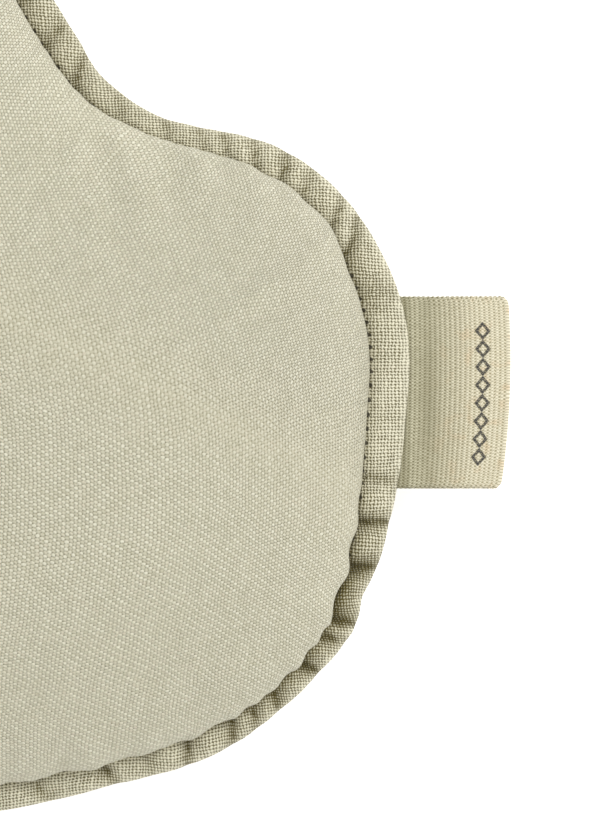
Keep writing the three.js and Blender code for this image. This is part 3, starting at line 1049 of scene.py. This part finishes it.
def ribbon_material():
    """Ribbed ribbon: each rib is a stack of slanted strands, and a row of small lozenges is woven in."""
    n = Nodes("label_ribbon")
    distance, across, layer = n.split(n.attribute("ribbon"))
    place = n.place()
    wobble = (n.noise(place, 500.0) - 0.5) * 0.16
    rib = (distance + wobble) / RIB_PITCH
    part = n.math("FRACT", rib + 0.5)
    number = n.math("FLOOR", rib + 0.5)
    slide = n.noise(n.vector(rib * 0.5, across * 0.25), 1.0)
    step = across / RIB_STEP + rib * 0.2 + slide * 3.0
    rib_round = n.math("COSINE", part * math.tau) * -1.0
    strand_round = n.math("COSINE", step * math.tau)
    high = rib_round * (strand_round * 0.34 + 0.14) + 0.5
    shade = n.noise(n.vector(number * 5.3, n.math("FLOOR", step) * 0.6), 1.0, 1.0)
    outer = n.ramp(distance, 13.0, 3.0)
    cream = n.mix(n.ramp(shade, 0.3, 0.7), srgb(244, 237, 211), srgb(235, 227, 200))
    sage = n.mix(n.ramp(shade, 0.3, 0.7), srgb(218, 213, 184), srgb(203, 198, 169))
    color = n.mix(outer, sage, cream)
    peach = n.ramp(n.noise(place, 420.0, 4.0), 0.52, 0.68) * outer
    color = n.mix(peach * 0.55, color, srgb(233, 206, 168))
    # Painted shade in the low places between ribs and strands, darker towards the seam.
    deep = n.mix(outer, srgb(108, 102, 66), srgb(152, 142, 106))
    color = n.mix(n.ramp(high, 0.82, 0.08, 0.0, 0.9), color, deep)
    # Painted shade from the label's spots, in its valley and inside the seam.
    hollow = n.split(n.attribute("spots"))[0]
    color = n.mix(hollow * 0.4, color, srgb(112, 106, 72))
    # The woven row of open lozenges.
    row = n.math("FRACT", across / LOZENGE) - 0.5
    row = n.math("ABSOLUTE", row * LOZENGE)
    side = n.math("ABSOLUTE", distance - LOZENGE_ROW)
    size = side + row / (LOZENGE * 0.48)
    ring = n.ramp(n.math("ABSOLUTE", size - 0.82), 0.33, 0.2)
    ends = n.math("LESS_THAN", n.math("ABSOLUTE", across), 4 * LOZENGE)
    mark = ring * ends * n.ramp(layer, 0.4, 0.6) * n.ramp(high, 0.15, 0.6, 0.35, 1.0)
    color = n.mix(mark, color, srgb(66, 65, 62))
    n.bump(high, 0.00009)
    return n.finish(color, 0.78, 0.15, 0.3)


def seed_material():
    n = Nodes("flax_husks")
    tone, height, other = n.split(n.attribute("seed"))
    color = n.mix(tone, srgb(96, 55, 28), srgb(150, 96, 52))
    color = n.mix(n.ramp(other, 0.86, 0.95) * 0.7, color, srgb(196, 158, 92))
    # Painted shade: darker where the seeds' surfaces sink down between them.
    color = n.mix(n.ramp(height, 0.35, 0.0), color, srgb(38, 20, 10))
    n.bump(n.noise(n.place(), 2200.0), 0.00005)
    return n.finish(color, 0.42, 0.0, 0.5)


MATERIALS = {
    "cover_linen": linen("washed_linen", srgb(230, 227, 206), srgb(219, 215, 192), srgb(126, 115, 62), 1.0),
    "bag_cotton": linen("bag_cotton", srgb(238, 233, 219), srgb(226, 219, 201), srgb(158, 150, 130), 0.4),
    "sewing_thread": thread_material("cover_thread", srgb(196, 190, 160), srgb(146, 139, 106)),
    "bag_thread": thread_material("bag_thread", srgb(236, 231, 216), srgb(200, 193, 172)),
    "label_ribbon": ribbon_material(),
    "flax_seed": seed_material(),
}
PIECES = [
    (front, "cover_linen", "cover_front_panel"),
    (back_outer, "cover_linen", "cover_back_outer_panel"),
    (back_inner, "cover_linen", "cover_back_inner_panel"),
    (seam_thread, "sewing_thread", "cover_seam_thread"),
    (needle, "sewing_thread", "topstitch_needle_thread"),
    (bobbin, "sewing_thread", "topstitch_bobbin_thread"),
    (outer_hem, "sewing_thread", "outer_hem_thread"),
    (inner_hem, "sewing_thread", "inner_hem_thread"),
    (label, "label_ribbon", "label_end_front", "label_end_back", "label_loop"),
    (bag_front, "bag_cotton", "bag_front_panel"),
    (bag_back, "bag_cotton", "bag_back_panel"),
    (bag_thread, "bag_thread", "bag_seam_thread"),
    (seeds, "flax_seed", "flax_seed_fill"),
]
for ob, slot, *nodes in PIECES:
    ob.data.materials.append(MATERIALS[slot])
    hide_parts(*nodes)
    if ob is label:
        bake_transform(ob)
    else:
        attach(ob, "pillow")


# ---- Floor, light and camera.
VIEW_X, VIEW_Y = 0.0953, -0.0028    # the middle of the photograph's view, in metres
VIEW_TALL = 0.1107                  # its height on the seam's plane
VIEW_FROM = 0.7                     # the camera's height over that plane
FLOOR_REACH = 3
FLOOR_GLOW = 0.5
SKY = 0.68


def stage():
    mesh = bpy.data.meshes.new("floor")
    corners = [(x * FLOOR_REACH, y * FLOOR_REACH, 0) for x, y in ((-1, -1), (1, -1), (1, 1), (-1, 1))]
    mesh.from_pydata(corners, [], [(0, 1, 2, 3)])
    floor = new_object("floor", mesh)
    n = Nodes("floor_white")
    n.shader.inputs["Emission Color"].default_value = (1, 1, 1, 1)
    n.shader.inputs["Emission Strength"].default_value = FLOOR_GLOW
    mesh.materials.append(n.finish((0.93, 0.93, 0.93, 1), 0.9))
    world = bpy.data.worlds.new("studio")
    bpy.context.scene.world = world
    world.use_nodes = True
    world.node_tree.nodes["Background"].inputs[0].default_value = (1, 1, 1, 1)
    world.node_tree.nodes["Background"].inputs[1].default_value = SKY
    lamps = (("key", (0.42, 0.3, 0.6), 0.25, 2.3), ("fill", (0.0, -0.25, 0.92), 0.7, 1.0))
    lit = Vector((0.06, 0, 0.01))
    for name, place, size, watts in lamps:
        light = bpy.data.lights.new(name, "AREA")
        light.size, light.energy = size, watts
        lamp = new_object(name, light)
        lamp.location = place
        aim = lit - Vector(place)
        lamp.rotation_euler = aim.to_track_quat("-Z", "Y").to_euler()
    camera = bpy.data.cameras.new("camera")
    shooting = new_object("camera", camera)
    bpy.context.scene.camera = shooting
    # The frame is taller than it is wide, so the sensor's width goes up it.
    camera.lens = camera.sensor_width * VIEW_FROM / VIEW_TALL
    shooting.location = (VIEW_X, VIEW_Y, SEAM_Z * MM + VIEW_FROM)
    camera.clip_start = 0.01
    bpy.context.scene.view_settings.view_transform = "Standard"


stage()
